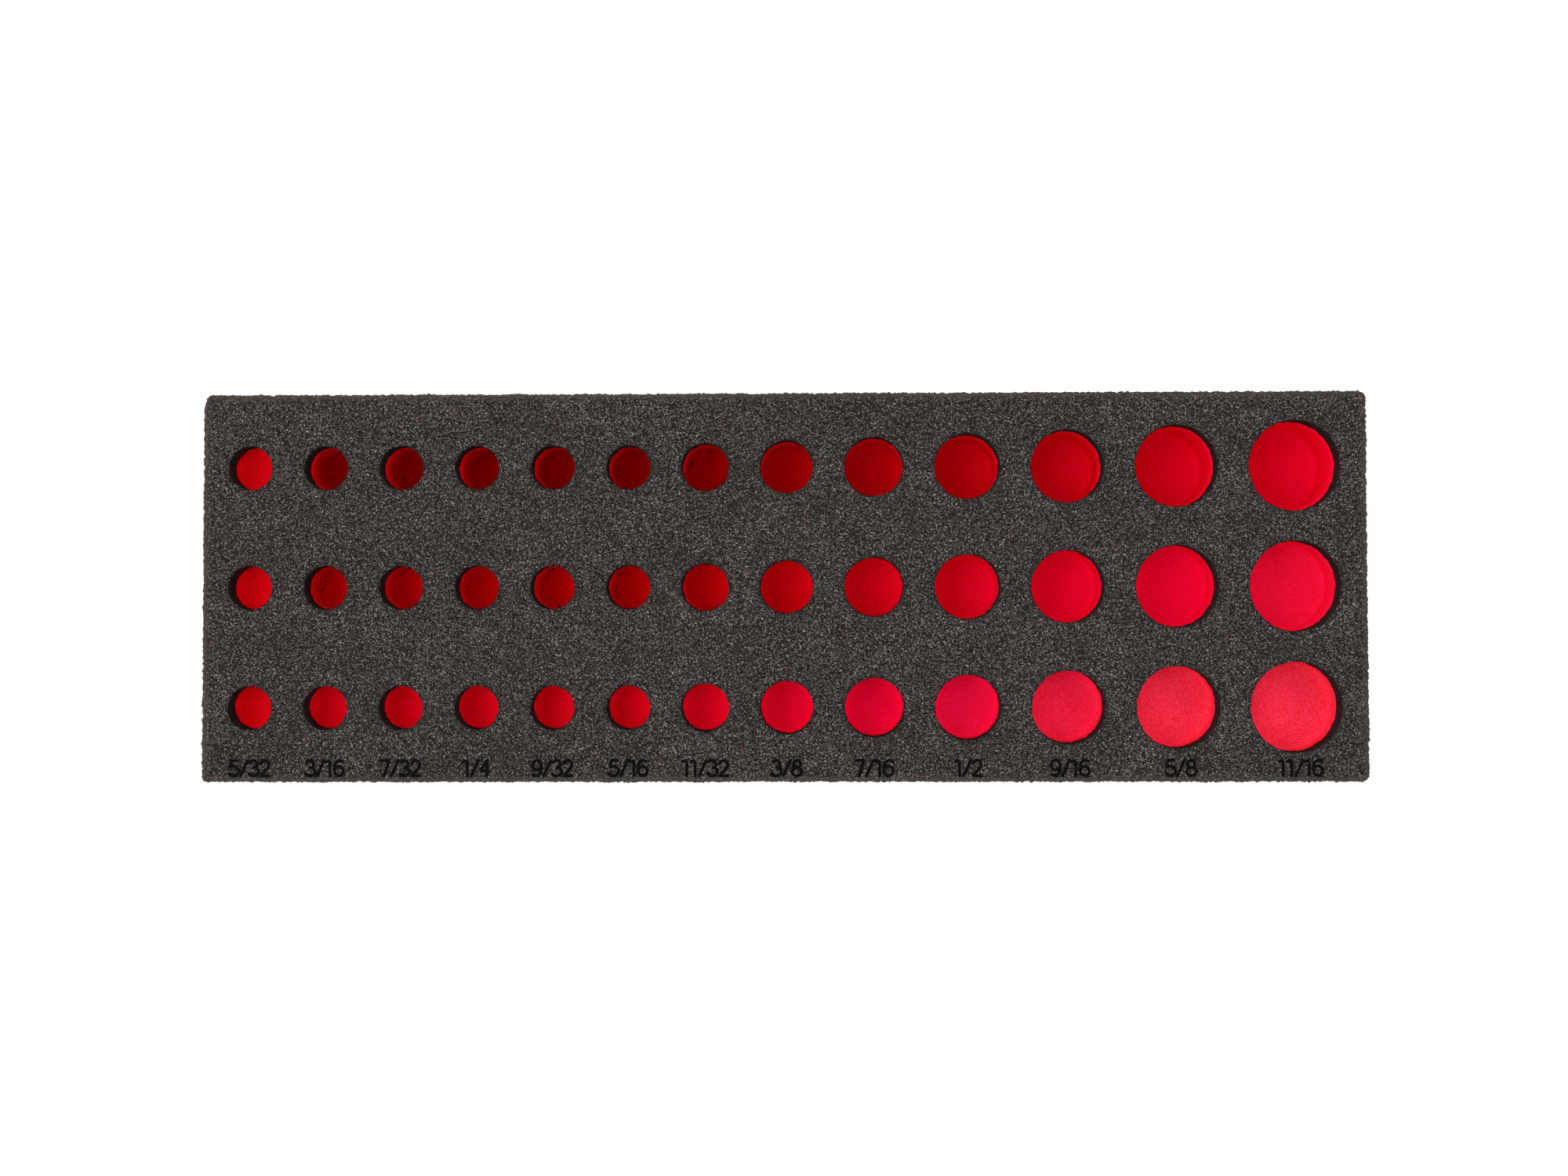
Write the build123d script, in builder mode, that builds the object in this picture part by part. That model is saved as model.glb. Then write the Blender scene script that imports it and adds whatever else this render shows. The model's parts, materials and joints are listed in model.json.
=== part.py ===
"""Foam socket organizer: a charcoal foam sheet bonded over a thick red foam base.

Three rows of thirteen round pockets go through the charcoal sheet and end blind in the red foam,
so that an empty pocket shows red. The pockets widen from left to right with the socket size.
The front row holds short sockets, the middle row medium ones and the back row deep ones.
Millimetres, +Z up, +X towards the large sockets, -Y towards the front edge with the size numbers.
The origin is the middle of the underside.
"""

import os
from typing import NamedTuple

from build123d import *

# Outer diameter of the socket that each column holds, by its size across the flats in inches.
SOCKET_DIAMETERS = {
    "5/32": 12.25,
    "3/16": 12.25,
    "7/32": 12.25,
    "1/4": 12.25,
    "9/32": 12.25,
    "5/16": 12.25,
    "11/32": 13.4,
    "3/8": 15.0,
    "7/16": 16.8,
    "1/2": 18.5,
    "9/16": 20.8,
    "5/8": 23.5,
    "11/16": 26.0,
}
SOCKET_CLEARANCE = 0.6  # on the diameter, between a socket and its pocket

# Foam left standing between pockets, and between the outermost pockets and the block's sides.
SMALL_COLUMN_LAND = 9.55  # to the left of each of the narrowest pockets
LARGE_COLUMN_LAND = 9.2
ROW_LAND = 8.8  # between the widest pockets of neighbouring rows
END_MARGIN = 7.7
SIDE_MARGIN = 8.45

# Depths below the top face, and the foam left under the deepest pocket. The smallest size comes
# only as a stub, so its column is shallower than the front row all the way back.
STUB_SOCKET_DEPTH = 12.7
SHORT_SOCKET_DEPTH = 15.9
MEDIUM_SOCKET_DEPTH = 25.4
DEEP_SOCKET_DEPTH = 36.5
FLOOR_THICKNESS = 7.95

TOP_LAYER_THICKNESS = 9.5

# The block is cut sharper at its left corners than at its right ones, and its top rim rolls over.
LEFT_CORNER_RADIUS = 1.5
RIGHT_CORNER_RADIUS = 2.2
ROLLED_RIM_RADIUS = 0.9


class Pocket(NamedTuple):
    """One round pocket: its centre, its diameter and its depth below the top face."""

    x: float
    y: float
    diameter: float
    depth: float


def column_diameters():
    """Pocket diameters from left to right."""
    return [body + SOCKET_CLEARANCE for body in SOCKET_DIAMETERS.values()]


def column_lands():
    """The foam between each pair of neighbouring pockets in a row."""
    widths = column_diameters()
    narrowest = min(widths)
    return [
        SMALL_COLUMN_LAND if right_one == narrowest else LARGE_COLUMN_LAND
        for right_one in widths[1:]
    ]


def column_centres():
    """X of each column, with the whole row centred on the block."""
    widths, lands = column_diameters(), column_lands()
    left_edge = -(sum(widths) + sum(lands)) / 2
    centres = []
    for width, land in zip(widths, lands + [0]):
        centres.append(left_edge + width / 2)
        left_edge += width + land
    return centres


def all_pockets():
    """Every pocket, row by row from the front, each row from left to right."""
    widths = column_diameters()
    row_pitch = max(widths) + ROW_LAND
    rows = [
        (-row_pitch, SHORT_SOCKET_DEPTH),
        (0.0, MEDIUM_SOCKET_DEPTH),
        (row_pitch, DEEP_SOCKET_DEPTH),
    ]
    pockets = []
    for y, row_depth in rows:
        for column, (x, width) in enumerate(zip(column_centres(), widths)):
            depth = STUB_SOCKET_DEPTH if column == 0 else row_depth
            pockets.append(Pocket(x, y, width, depth))
    return pockets


POCKETS = all_pockets()
BLOCK_LENGTH = sum(column_diameters()) + sum(column_lands()) + 2 * END_MARGIN
BLOCK_WIDTH = 3 * max(column_diameters()) + 2 * ROW_LAND + 2 * SIDE_MARGIN
BLOCK_HEIGHT = max(pocket.depth for pocket in POCKETS) + FLOOR_THICKNESS
BOND_HEIGHT = BLOCK_HEIGHT - TOP_LAYER_THICKNESS


def draw_pockets(pockets, mode=Mode.ADD):
    """Draw a circle for each pocket in the sketch that calls this."""
    for pocket in pockets:
        with Locations((pocket.x, pocket.y)):
            Circle(pocket.diameter / 2, mode=mode)


# Both layers are cut to one outline. Each end is looked up again before it is rounded, because the
# first rounding makes new corners.
with BuildSketch() as block_outline:
    Rectangle(BLOCK_LENGTH, BLOCK_WIDTH)
    fillet(block_outline.vertices().group_by(Axis.X)[0], LEFT_CORNER_RADIUS)
    fillet(block_outline.vertices().group_by(Axis.X)[-1], RIGHT_CORNER_RADIUS)

# Red base: a solid block with blind pockets in steps of depth, each with a flat floor.
with BuildPart() as red_base_layer:
    add(block_outline.sketch)
    extrude(amount=BOND_HEIGHT)
    for depth in sorted({pocket.depth for pocket in POCKETS}):
        floor_height = BLOCK_HEIGHT - depth
        with BuildSketch(Plane.XY.offset(floor_height)):
            draw_pockets([pocket for pocket in POCKETS if pocket.depth == depth])
        extrude(amount=BOND_HEIGHT - floor_height, mode=Mode.SUBTRACT)

# Charcoal sheet, bonded face to face on the base: each pocket goes through, the outer rim is rolled.
with BuildPart() as charcoal_top_layer:
    with BuildSketch(Plane.XY.offset(BOND_HEIGHT)):
        add(block_outline.sketch)
        draw_pockets(POCKETS, Mode.SUBTRACT)
    extrude(amount=TOP_LAYER_THICKNESS)
    top_face = charcoal_top_layer.faces().sort_by(Axis.Z)[-1]
    fillet(top_face.outer_wire().edges(), ROLLED_RIM_RADIUS)

red_base_layer.part.label = "red_base_layer"
charcoal_top_layer.part.label = "charcoal_top_layer"

os.makedirs("parts", exist_ok=True)
export_step(red_base_layer.part, "parts/red_base_layer.step")
export_step(charcoal_top_layer.part, "parts/charcoal_top_layer.step")

print("block", round(BLOCK_LENGTH, 2), round(BLOCK_WIDTH, 2), round(BLOCK_HEIGHT, 2))
print("pockets", len(POCKETS))
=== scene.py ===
# %% [markdown]
# A foam socket organizer: a charcoal foam sheet bonded over a thick red one, with three rows of
# round pockets cut through the charcoal into the red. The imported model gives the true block. This
# file dresses it: the torn cells along each cut, the rolled rim, the engraved numbers and the foam.

# %% Load the fixed frame
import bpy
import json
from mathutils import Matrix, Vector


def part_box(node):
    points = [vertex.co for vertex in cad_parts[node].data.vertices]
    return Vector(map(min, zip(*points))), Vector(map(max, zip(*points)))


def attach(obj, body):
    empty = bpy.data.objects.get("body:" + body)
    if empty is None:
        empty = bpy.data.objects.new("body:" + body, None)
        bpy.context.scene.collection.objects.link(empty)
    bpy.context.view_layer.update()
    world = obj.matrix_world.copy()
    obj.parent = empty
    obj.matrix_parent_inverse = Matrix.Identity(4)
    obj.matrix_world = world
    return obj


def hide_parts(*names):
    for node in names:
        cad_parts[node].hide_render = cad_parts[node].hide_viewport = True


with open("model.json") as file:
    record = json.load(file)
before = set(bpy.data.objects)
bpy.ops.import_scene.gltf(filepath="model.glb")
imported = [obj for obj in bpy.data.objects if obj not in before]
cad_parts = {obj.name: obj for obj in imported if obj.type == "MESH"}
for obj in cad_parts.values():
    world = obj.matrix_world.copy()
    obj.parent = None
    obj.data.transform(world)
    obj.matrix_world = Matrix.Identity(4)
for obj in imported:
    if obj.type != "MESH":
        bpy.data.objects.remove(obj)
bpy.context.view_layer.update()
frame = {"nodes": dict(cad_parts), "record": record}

import json
import math

import bpy
import numpy as np
from mathutils import Matrix, Vector
from mathutils.geometry import delaunay_2d_cdt

MM = 0.001
FAR = 1.0  # metres, farther than anything on the block
TINY = 1e-12  # keeps a division from zero

# %% [markdown]
# Nothing is measured twice: the pockets are read back from the frame. The record names each one
# and says where it is, as a mount or as an opening. The CAD mesh then tells its radius, because
# the nearest corner of the sheet lies on the rim, and its floor, the lowest corner inside it.

# %% Read the pockets from the frame
SHEET, BASE = "charcoal_top_layer", "red_base_layer"
RADIUS_SLACK = 1.02  # a floor's own corners lie on the radius, so they are looked for a little past it
sheet_low, sheet_high = (np.array(corner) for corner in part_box(SHEET))
base_low, base_high = (np.array(corner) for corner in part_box(BASE))
TOP, BOND = sheet_high[2], sheet_low[2]


def cad_points(node):
    """All corners of a CAD node's mesh."""
    mesh = frame["nodes"][node].data
    flat = np.empty(len(mesh.vertices) * 3)
    mesh.vertices.foreach_get("co", flat)
    return flat.reshape(-1, 3)


def read_pockets():
    """Each pocket as a dictionary: its row, size, centre, radius and floor height."""
    record, sheet_points, base_points = frame["record"], cad_points(SHEET), cad_points(BASE)
    named = {m["name"]: m["pos_m"][:2] for m in record["mounts"] if m["kind"] == "bore"}
    for opening in record["physics"]["openings"]:
        low, high = np.array(opening["box_m"])
        named[opening["name"]] = ((low + high) / 2)[:2]
    found = []
    for name, centre in named.items():
        row, size = name.split("_pocket_")
        centre = np.array(centre)
        radius = np.hypot(*(sheet_points[:, :2] - centre).T).min()
        inside = np.hypot(*(base_points[:, :2] - centre).T) < radius * RADIUS_SLACK
        found.append({"row": row, "size": size.replace("_", "/"), "centre": centre,
                      "radius": radius, "floor": base_points[inside][:, 2].min()})
    return sorted(found, key=lambda pocket: (round(pocket["centre"][1], 4), pocket["centre"][0]))


POCKETS = read_pockets()
print(len(POCKETS), "pockets; radii in mm:", sorted({round(p["radius"] / MM, 2) for p in POCKETS}))

# %% [markdown]
# The photograph looks almost straight down. Its camera was worked out from the rims of the
# pockets: it stands 730 mm over the top face and leans a degree or two, so the right end comes out
# a little larger than the left. A small shift puts the block where the photograph has it.

# %% Camera
FRAME_WIDTH_PX, FRAME_HEIGHT_PX = 2000, 1500
CAMERA_HEIGHT = 730 * MM
PIXELS_PER_MM = 4.336
PRINCIPAL_POINT_PX = (995.1, 623.1)
CAMERA_SWING, CAMERA_LEAN = math.radians(-1.293), math.radians(-2.201)
CAMERA_ROLL = math.radians(0.117)
CAMERA_SLIDE = Vector((0.58 * MM, -28.98 * MM, 0))
SENSOR_WIDTH_MM = 36


def make_camera():
    """A camera at the photograph's place, over the middle of the top face."""
    data = bpy.data.cameras.new("camera")
    data.sensor_width = SENSOR_WIDTH_MM
    data.lens = SENSOR_WIDTH_MM * PIXELS_PER_MM * (CAMERA_HEIGHT / MM) / FRAME_WIDTH_PX
    data.shift_x = (FRAME_WIDTH_PX / 2 - PRINCIPAL_POINT_PX[0]) / FRAME_WIDTH_PX
    data.shift_y = (PRINCIPAL_POINT_PX[1] - FRAME_HEIGHT_PX / 2) / FRAME_WIDTH_PX
    turn = (Matrix.Rotation(CAMERA_ROLL, 3, "Z") @ Matrix.Rotation(CAMERA_LEAN, 3, "X")
            @ Matrix.Rotation(CAMERA_SWING, 3, "Y"))
    back = turn.transposed()
    place = back @ (Vector((0, 0, CAMERA_HEIGHT)) - CAMERA_SLIDE) + Vector((0, 0, TOP))
    camera = bpy.data.objects.new("camera", data)
    camera.matrix_world = Matrix.Translation(place) @ back.to_4x4()
    bpy.context.collection.objects.link(camera)
    bpy.context.scene.camera = camera
    print("camera at", [round(v, 4) for v in place], "lens", round(data.lens, 1))


make_camera()

# %% [markdown]
# The right walls of the wide pockets are brighter than their floors, so a large soft box stands low
# on the left. Smaller ones stand high on the left, on the right, at the back and overhead, where
# one looks down into the narrow pockets. The soft boxes stand three metres off, so both ends of the
# block are lit alike.

# %% Soft boxes
LIGHT_DISTANCE = 3.0
SOFT_BOXES = {  # bearing from +X and height over the floor in degrees, size in metres, power in watts
    "low_left": (175, 36, 2.4, 50.0),
    "high_left": (180, 70, 1.2, 31.0),
    "right": (0, 50, 1.2, 29.0),
    "back": (90, 50, 1.2, 17.0),
    "overhead": (0, 88, 1.1, 2.0),
}


def add_soft_box(name, bearing, height, size, power):
    """A square area light that looks at the block."""
    bearing, height = math.radians(bearing), math.radians(height)
    level = math.cos(height)
    place = LIGHT_DISTANCE * Vector((level * math.cos(bearing), level * math.sin(bearing),
                                     math.sin(height)))
    data = bpy.data.lights.new(name, "AREA")
    data.size, data.energy = size, power
    lamp = bpy.data.objects.new(name, data)
    lamp.matrix_world = Matrix.Translation(place) @ place.to_track_quat("Z", "Y").to_matrix().to_4x4()
    bpy.context.collection.objects.link(lamp)


for name, values in SOFT_BOXES.items():
    add_soft_box(name + "_soft_box", *values)
print(len(SOFT_BOXES), "soft boxes:", ", ".join(SOFT_BOXES))

# %% [markdown]
# A pale dome gives most of the light. What the camera sees past the floor is plain white, and that
# comes from Light Path's Is Camera Ray, so it puts no more light on the block.

# %% The dome and the white behind it
DOME_COLOUR, DOME_STRENGTH = (1.0, 0.98, 0.96, 1), 1.0
WHITE = (1, 1, 1, 1)


def make_world():
    """A pale dome for the light, and plain white for the camera."""
    world = bpy.data.worlds.new("studio")
    bpy.context.scene.world = world
    world.use_nodes = True
    nodes, links = world.node_tree.nodes, world.node_tree.links
    light, output = nodes["Background"], nodes["World Output"]
    light.inputs["Color"].default_value = DOME_COLOUR
    light.inputs["Strength"].default_value = DOME_STRENGTH
    seen = nodes.new("ShaderNodeBackground")
    seen.inputs["Color"].default_value = WHITE
    path, mix = nodes.new("ShaderNodeLightPath"), nodes.new("ShaderNodeMixShader")
    links.new(path.outputs["Is Camera Ray"], mix.inputs[0])
    links.new(light.outputs[0], mix.inputs[1])
    links.new(seen.outputs[0], mix.inputs[2])
    links.new(mix.outputs[0], output.inputs["Surface"])


make_world()
bpy.context.scene.view_settings.view_transform = "Standard"
print("dome of strength", DOME_STRENGTH)

# %% [markdown]
# The floor is white paper: the camera sees it nearly at full white, and it still takes a faint
# shadow from the block. It lies a hair under the block, because two faces in one plane would show
# through each other, and has a hole that the block covers, so that the underside can be seen.

# %% The paper floor
PAPER_COLOUR, PAPER_ROUGHNESS = (0.85, 0.85, 0.85, 1), 0.9
FLOOR_HALF_SIZE = 6.0
FLOOR_HEIGHT = -0.05 * MM
HOLE_INSET = 3 * MM
FLOOR_GLOW_SHARE = 0.93


def make_paper():
    """Matte white that glows a little for the camera alone."""
    material = bpy.data.materials.new("white_paper")
    material.use_nodes = True
    nodes, links = material.node_tree.nodes, material.node_tree.links
    paper, output = nodes["Principled BSDF"], nodes["Material Output"]
    paper.inputs["Base Color"].default_value = PAPER_COLOUR
    paper.inputs["Roughness"].default_value = PAPER_ROUGHNESS
    glow, path = nodes.new("ShaderNodeEmission"), nodes.new("ShaderNodeLightPath")
    share, mix = nodes.new("ShaderNodeMath"), nodes.new("ShaderNodeMixShader")
    share.operation = "MULTIPLY"
    share.inputs[1].default_value = FLOOR_GLOW_SHARE
    links.new(path.outputs["Is Camera Ray"], share.inputs[0])
    links.new(share.outputs[0], mix.inputs[0])
    links.new(paper.outputs[0], mix.inputs[1])
    links.new(glow.outputs[0], mix.inputs[2])
    links.new(mix.outputs[0], output.inputs["Surface"])
    return material


def make_floor():
    """A square sheet of paper with a hole under the block."""
    mesh = bpy.data.meshes.new("paper_floor")
    corners = [(-1, -1), (1, -1), (1, 1), (-1, 1)]
    hole = base_high[:2] - HOLE_INSET
    points = [(x * FLOOR_HALF_SIZE, y * FLOOR_HALF_SIZE, FLOOR_HEIGHT) for x, y in corners]
    points += [(x * hole[0], y * hole[1], FLOOR_HEIGHT) for x, y in corners]
    mesh.from_pydata(points, [], [(k, (k + 1) % 4, 4 + (k + 1) % 4, 4 + k) for k in range(4)])
    mesh.materials.append(make_paper())
    floor = bpy.data.objects.new("paper_floor", mesh)
    bpy.context.collection.objects.link(floor)


make_floor()
print("paper floor of", 2 * FLOOR_HALF_SIZE, "m")

# %% [markdown]
# Node trees are easier to read when each node is made and wired in one call. This small helper
# does that for shader trees and geometry trees alike: a value given for an input may be a number
# or another node's output.

# %% A helper that makes and wires nodes


class Bench:
    """Adds nodes to one tree, and wires or sets their inputs as they are added."""

    def __init__(self, tree):
        """Keeps the tree that the nodes go into."""
        self.tree = tree

    def wire(self, source, socket):
        """Links an output to an input, or sets a plain value on it."""
        if isinstance(source, bpy.types.NodeSocket):
            self.tree.links.new(source, socket)
        elif source is not None:
            socket.default_value = source

    def put(self, kind, settings=None, **inputs):
        """A new node; an input's name is written with _ for a space."""
        node = self.tree.nodes.new(kind)
        for name, value in (settings or {}).items():
            setattr(node, name, value)
        for name, source in inputs.items():
            self.wire(source, node.inputs[name.replace("_", " ")])
        return node

    def math(self, operation, *sources):
        """A Math node's result."""
        node = self.put("ShaderNodeMath", {"operation": operation})
        for source, socket in zip(sources, node.inputs):
            self.wire(source, socket)
        return node.outputs[0]

    def times(self, product, *sources):
        """The product of numbers, worked out from left to right."""
        for source in sources:
            product = self.math("MULTIPLY", product, source)
        return product

    def spread(self, value, low, high, new_low=0.0, new_high=1.0):
        """Value mapped from one range to another, held at its ends."""
        return self.put("ShaderNodeMapRange", None, Value=value, From_Min=low, From_Max=high,
                        To_Min=new_low, To_Max=new_high).outputs["Result"]

    def vector(self, operation, *sources):
        """A Vector Math node's vector, or its value where the operation gives one."""
        node = self.put("ShaderNodeVectorMath", {"operation": operation})
        sockets = [s for s in node.inputs if s.enabled]
        for source, socket in zip(sources, sockets):
            self.wire(source, socket)
        return node.outputs["Value" if operation == "LENGTH" else "Vector"]

    def scaled(self, vector, factor):
        """A vector times a number."""
        node = self.put("ShaderNodeVectorMath", {"operation": "SCALE"}, Scale=factor)
        self.wire(vector, node.inputs[0])
        return node.outputs["Vector"]

    def axis(self, vector, letter):
        """One of a vector's three numbers."""
        return self.put("ShaderNodeSeparateXYZ", None, Vector=vector).outputs[letter]

    def blend(self, factor, first, second):
        """Two colours mixed. The node has inputs for every kind of value; 6 and 7 are the colours."""
        node = self.put("ShaderNodeMix", {"data_type": "RGBA"})
        for source, number in ((factor, 0), (first, 6), (second, 7)):
            self.wire(source, node.inputs[number])
        return node.outputs[2]

    def read(self, name):
        """A number kept on the mesh, read in a material."""
        return self.put("ShaderNodeAttribute", {"attribute_name": name}).outputs["Fac"]

    def named(self, name, kind="FLOAT"):
        """A named attribute, read in a geometry tree."""
        node = self.put("GeometryNodeInputNamedAttribute", {"data_type": kind}, Name=name)
        return node.outputs["Attribute"]

    def store(self, geometry, name, kind, value):
        """The geometry with a named attribute kept on its points."""
        return self.put("GeometryNodeStoreNamedAttribute", {"data_type": kind, "domain": "POINT"},
                        Geometry=geometry, Name=name, Value=value).outputs[0]

    def join(self, *geometries):
        """Several geometries in one."""
        node = self.put("GeometryNodeJoinGeometry")
        for geometry in geometries:
            self.wire(geometry, node.inputs[0])
        return node.outputs[0]


def new_group(name, kind, inputs, outputs):
    """A node group with named sockets, each given as (name, type, default).

    Returns it, its bench, and the nodes at its two ends.
    """
    tree = bpy.data.node_groups.new(name, kind)
    for label, socket_type, default in inputs:
        socket = tree.interface.new_socket(label, in_out="INPUT", socket_type=socket_type)
        if default is not None:
            socket.default_value = default
    for label, socket_type in outputs:
        tree.interface.new_socket(label, in_out="OUTPUT", socket_type=socket_type)
    bench = Bench(tree)
    return tree, bench, bench.put("NodeGroupInput"), bench.put("NodeGroupOutput")


# %% [markdown]
# Closed-cell foam is a froth of small bubbles. Where a blade or a hot wire opens them, each cell
# is a dark pit with a pale wall that catches light. Both foams share one group. Blender's texture
# of cells gives each cell a shade of its own by chance, and the way from a cell's middle gives the
# bump its walls. A noise three cells wide ripples the shades, and a much wider one makes clouds.

# %% The foam cells, a shader group
RIPPLE_SCALE = 0.33  # of the cells' scale, so that a ripple is three cells wide
CHANCE_SHARE, RIPPLE_SHARE = 0.75, 0.25
CELL_WALL_RANGE, RIPPLE_RANGE, CLOUD_RANGE = (0.05, 0.7), (0.2, 0.8), (0.3, 0.7)


def make_foam_cells():
    """A group that gives a foam's grain, a height for its bump, and wide clouds."""
    tree, bench, given, result = new_group(
        "foam_cells", "ShaderNodeTree",
        [("Cell Size", "NodeSocketFloat", 0.25 * MM), ("Cloud Size", "NodeSocketFloat", 14 * MM)],
        [("Grain", "NodeSocketFloat"), ("Height", "NodeSocketFloat"), ("Clouds", "NodeSocketFloat")])
    place = bench.put("ShaderNodeTexCoord").outputs["Object"]
    per_cell = bench.math("DIVIDE", 1.0, given.outputs["Cell Size"])
    per_cloud = bench.math("DIVIDE", 1.0, given.outputs["Cloud Size"])
    cells = bench.put("ShaderNodeTexVoronoi", {"feature": "F1"}, Vector=place, Scale=per_cell)
    chance = bench.put("ShaderNodeSeparateColor", None, Color=cells.outputs["Color"]).outputs[0]
    ripple = bench.put("ShaderNodeTexNoise", None, Vector=place, Detail=0.0,
                       Scale=bench.times(per_cell, RIPPLE_SCALE)).outputs[0]
    clouds = bench.put("ShaderNodeTexNoise", None, Vector=place, Detail=3.0, Roughness=0.6,
                       Scale=per_cloud).outputs[0]
    cell_wall = bench.spread(cells.outputs["Distance"], *CELL_WALL_RANGE)
    grain = bench.math("ADD", bench.times(chance, CHANCE_SHARE),
                       bench.times(bench.spread(ripple, *RIPPLE_RANGE), RIPPLE_SHARE))
    height = bench.math("ADD", bench.times(cell_wall, 0.5), bench.times(grain, 0.5))
    bench.wire(grain, result.inputs["Grain"])
    bench.wire(height, result.inputs["Height"])
    bench.wire(bench.spread(clouds, *CLOUD_RANGE), result.inputs["Clouds"])
    return tree


FOAM_CELLS = make_foam_cells()
print("group", FOAM_CELLS.name, "with", len(FOAM_CELLS.nodes), "nodes")

# %% [markdown]
# The materials of both foams begin alike: the group of cells, and a bump from its height. What is
# the same all over a surface, such as its roughness, is set on the shader's own sockets.

# %% How a foam material begins


def start_foam(name, cell, bump_strength, bump_distance, roughness, specular):
    """A material with the foam group in it. Returns it with its bench, its shader and the group."""
    material = bpy.data.materials.new(name)
    material.use_nodes = True
    bench, shader = Bench(material.node_tree), material.node_tree.nodes["Principled BSDF"]
    foam = bench.put("ShaderNodeGroup", {"node_tree": FOAM_CELLS}, Cell_Size=cell)
    bump = bench.put("ShaderNodeBump", None, Strength=bump_strength, Distance=bump_distance,
                     Height=foam.outputs["Height"])
    bench.wire(bump.outputs["Normal"], shader.inputs["Normal"])
    shader.inputs["Roughness"].default_value = roughness
    shader.inputs["Specular IOR Level"].default_value = specular
    return material, bench, shader, foam


# %% [markdown]
# The charcoal foam is nearly neutral, with dark pits and a few pale walls. Its rolled outer rim is
# smoother and slightly brown, and the engraved strokes are scorched black. The pocket walls are
# painted near black as well: that is painted shade, for the shadow down in the holes.
# Three attributes on the mesh say where these are: rim, engraved and wall.

# %% Charcoal foam
PIT_COLOUR, WALL_COLOUR = (0.0012, 0.0010, 0.0010, 1), (0.330, 0.280, 0.262, 1)
PALE_POWER = 6.0  # leaves most cells dark and a few pale
CLOUDED_LIGHT = 0.8, 1.2  # how much paler or darker the clouds make it
RIM_COLOUR, RIM_SHARE = (0.040, 0.030, 0.026, 1), 0.6
# one near-black colour for the scorched engraved strokes and for the painted shade on the pocket walls
SCORCH_AND_SHADE_COLOUR = (0.0006, 0.0005, 0.0005, 1)
# how far the pocket walls are painted towards near black, as painted shade
WALL_PAINTED_SHADE = 0.85


def make_charcoal():
    """The sheet's material."""
    material, bench, shader, foam = start_foam(
        "charcoal_foam", cell=0.21 * MM, bump_strength=0.7, bump_distance=0.2 * MM,
        roughness=0.85, specular=0.15)
    lit = bench.times(bench.math("POWER", foam.outputs["Grain"], PALE_POWER),
                      bench.spread(foam.outputs["Clouds"], 0.0, 1.0, *CLOUDED_LIGHT))
    colour = bench.blend(lit, PIT_COLOUR, WALL_COLOUR)
    colour = bench.blend(bench.times(bench.read("rim"), RIM_SHARE), colour, RIM_COLOUR)
    # the engraved strokes are scorched; the pocket walls are darkened here as painted shade
    dark = bench.math("MAXIMUM", bench.read("engraved"), bench.times(bench.read("wall"), WALL_PAINTED_SHADE))
    colour = bench.blend(dark, colour, SCORCH_AND_SHADE_COLOUR)
    bench.wire(colour, shader.inputs["Base Color"])
    return material


CHARCOAL = make_charcoal()
print("material", CHARCOAL.name, "with", len(CHARCOAL.node_tree.nodes), "nodes")

# %% [markdown]
# The red foam has the same cells, and looks smoother because it differs less from cell to cell.
# Light that falls into a pocket bounces from red to red and comes out deeper, which the render works
# out by itself. What differs from pocket to pocket comes in as attributes, and much of it is painted
# light. Openness is how wide a pocket is for its depth. The narrow deep pockets get a brighter red as
# painted light, the open ones a red turned towards pink as a painted highlight, and the walls of the
# open ones, with the floor near them, a brighter red again as painted light. Wall is 1 on a wall, 0
# on a floor and -1 on the block's own sides, which are duller. Corner gap is the way to the corner
# between wall and floor, and a last attribute says where dark pits lie along it in the narrow deep
# pockets: partly torn cells, partly painted shade.

# %% Red foam
# Each of the four is a range of openness, and the value at both of its ends.
# painted light: the red is brighter in the narrow deep pockets, and green and blue turn the open ones pink
# as a painted highlight
RED_AND_PAINTED_LIGHT_BY_OPENNESS = 0.10, 0.58, 0.85, 0.785
GREEN_AND_PAINTED_HIGHLIGHT_BY_OPENNESS = 0.32, 0.50, 0.0022, 0.024
BLUE_AND_PAINTED_HIGHLIGHT_BY_OPENNESS = 0.09, 0.36, 0.003, 0.056
PAINTED_WALL_LIGHT_BY_OPENNESS = 0.06, 0.25, 0.0, 0.13
BRIGHT_REACH = 2.0 * MM  # how far the walls' painted light goes on across the floor
BY_SPECK = 0.15, 0.9, 0.4, 1.9  # a range of the grain, and what green and blue, with their painted highlight, are multiplied by
SKIN_GRAIN_RANGE = 0.1, 0.9
SKIN_DARK, SKIN_PALE = (0.30, 0.002, 0.008, 1), (0.75, 0.020, 0.060, 1)
# dark pits at the floor's edge: partly torn cells, partly painted shade
PIT_AND_SHADE_RED, PIT_SIZE, PIT_EDGE = (0.02, 0.0005, 0.001, 1), 1.0 * MM, (0.25, 0.5)
UNPITTED_SHARE = 0.35
TEAR_SIZE, TEAR_RANGE = 7 * MM, (0.42, 0.5)
CORNER_REACH = 0.3 * 1.6 * MM, 1.6 * MM  # pits are whole up to the first, and gone at the second


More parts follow.
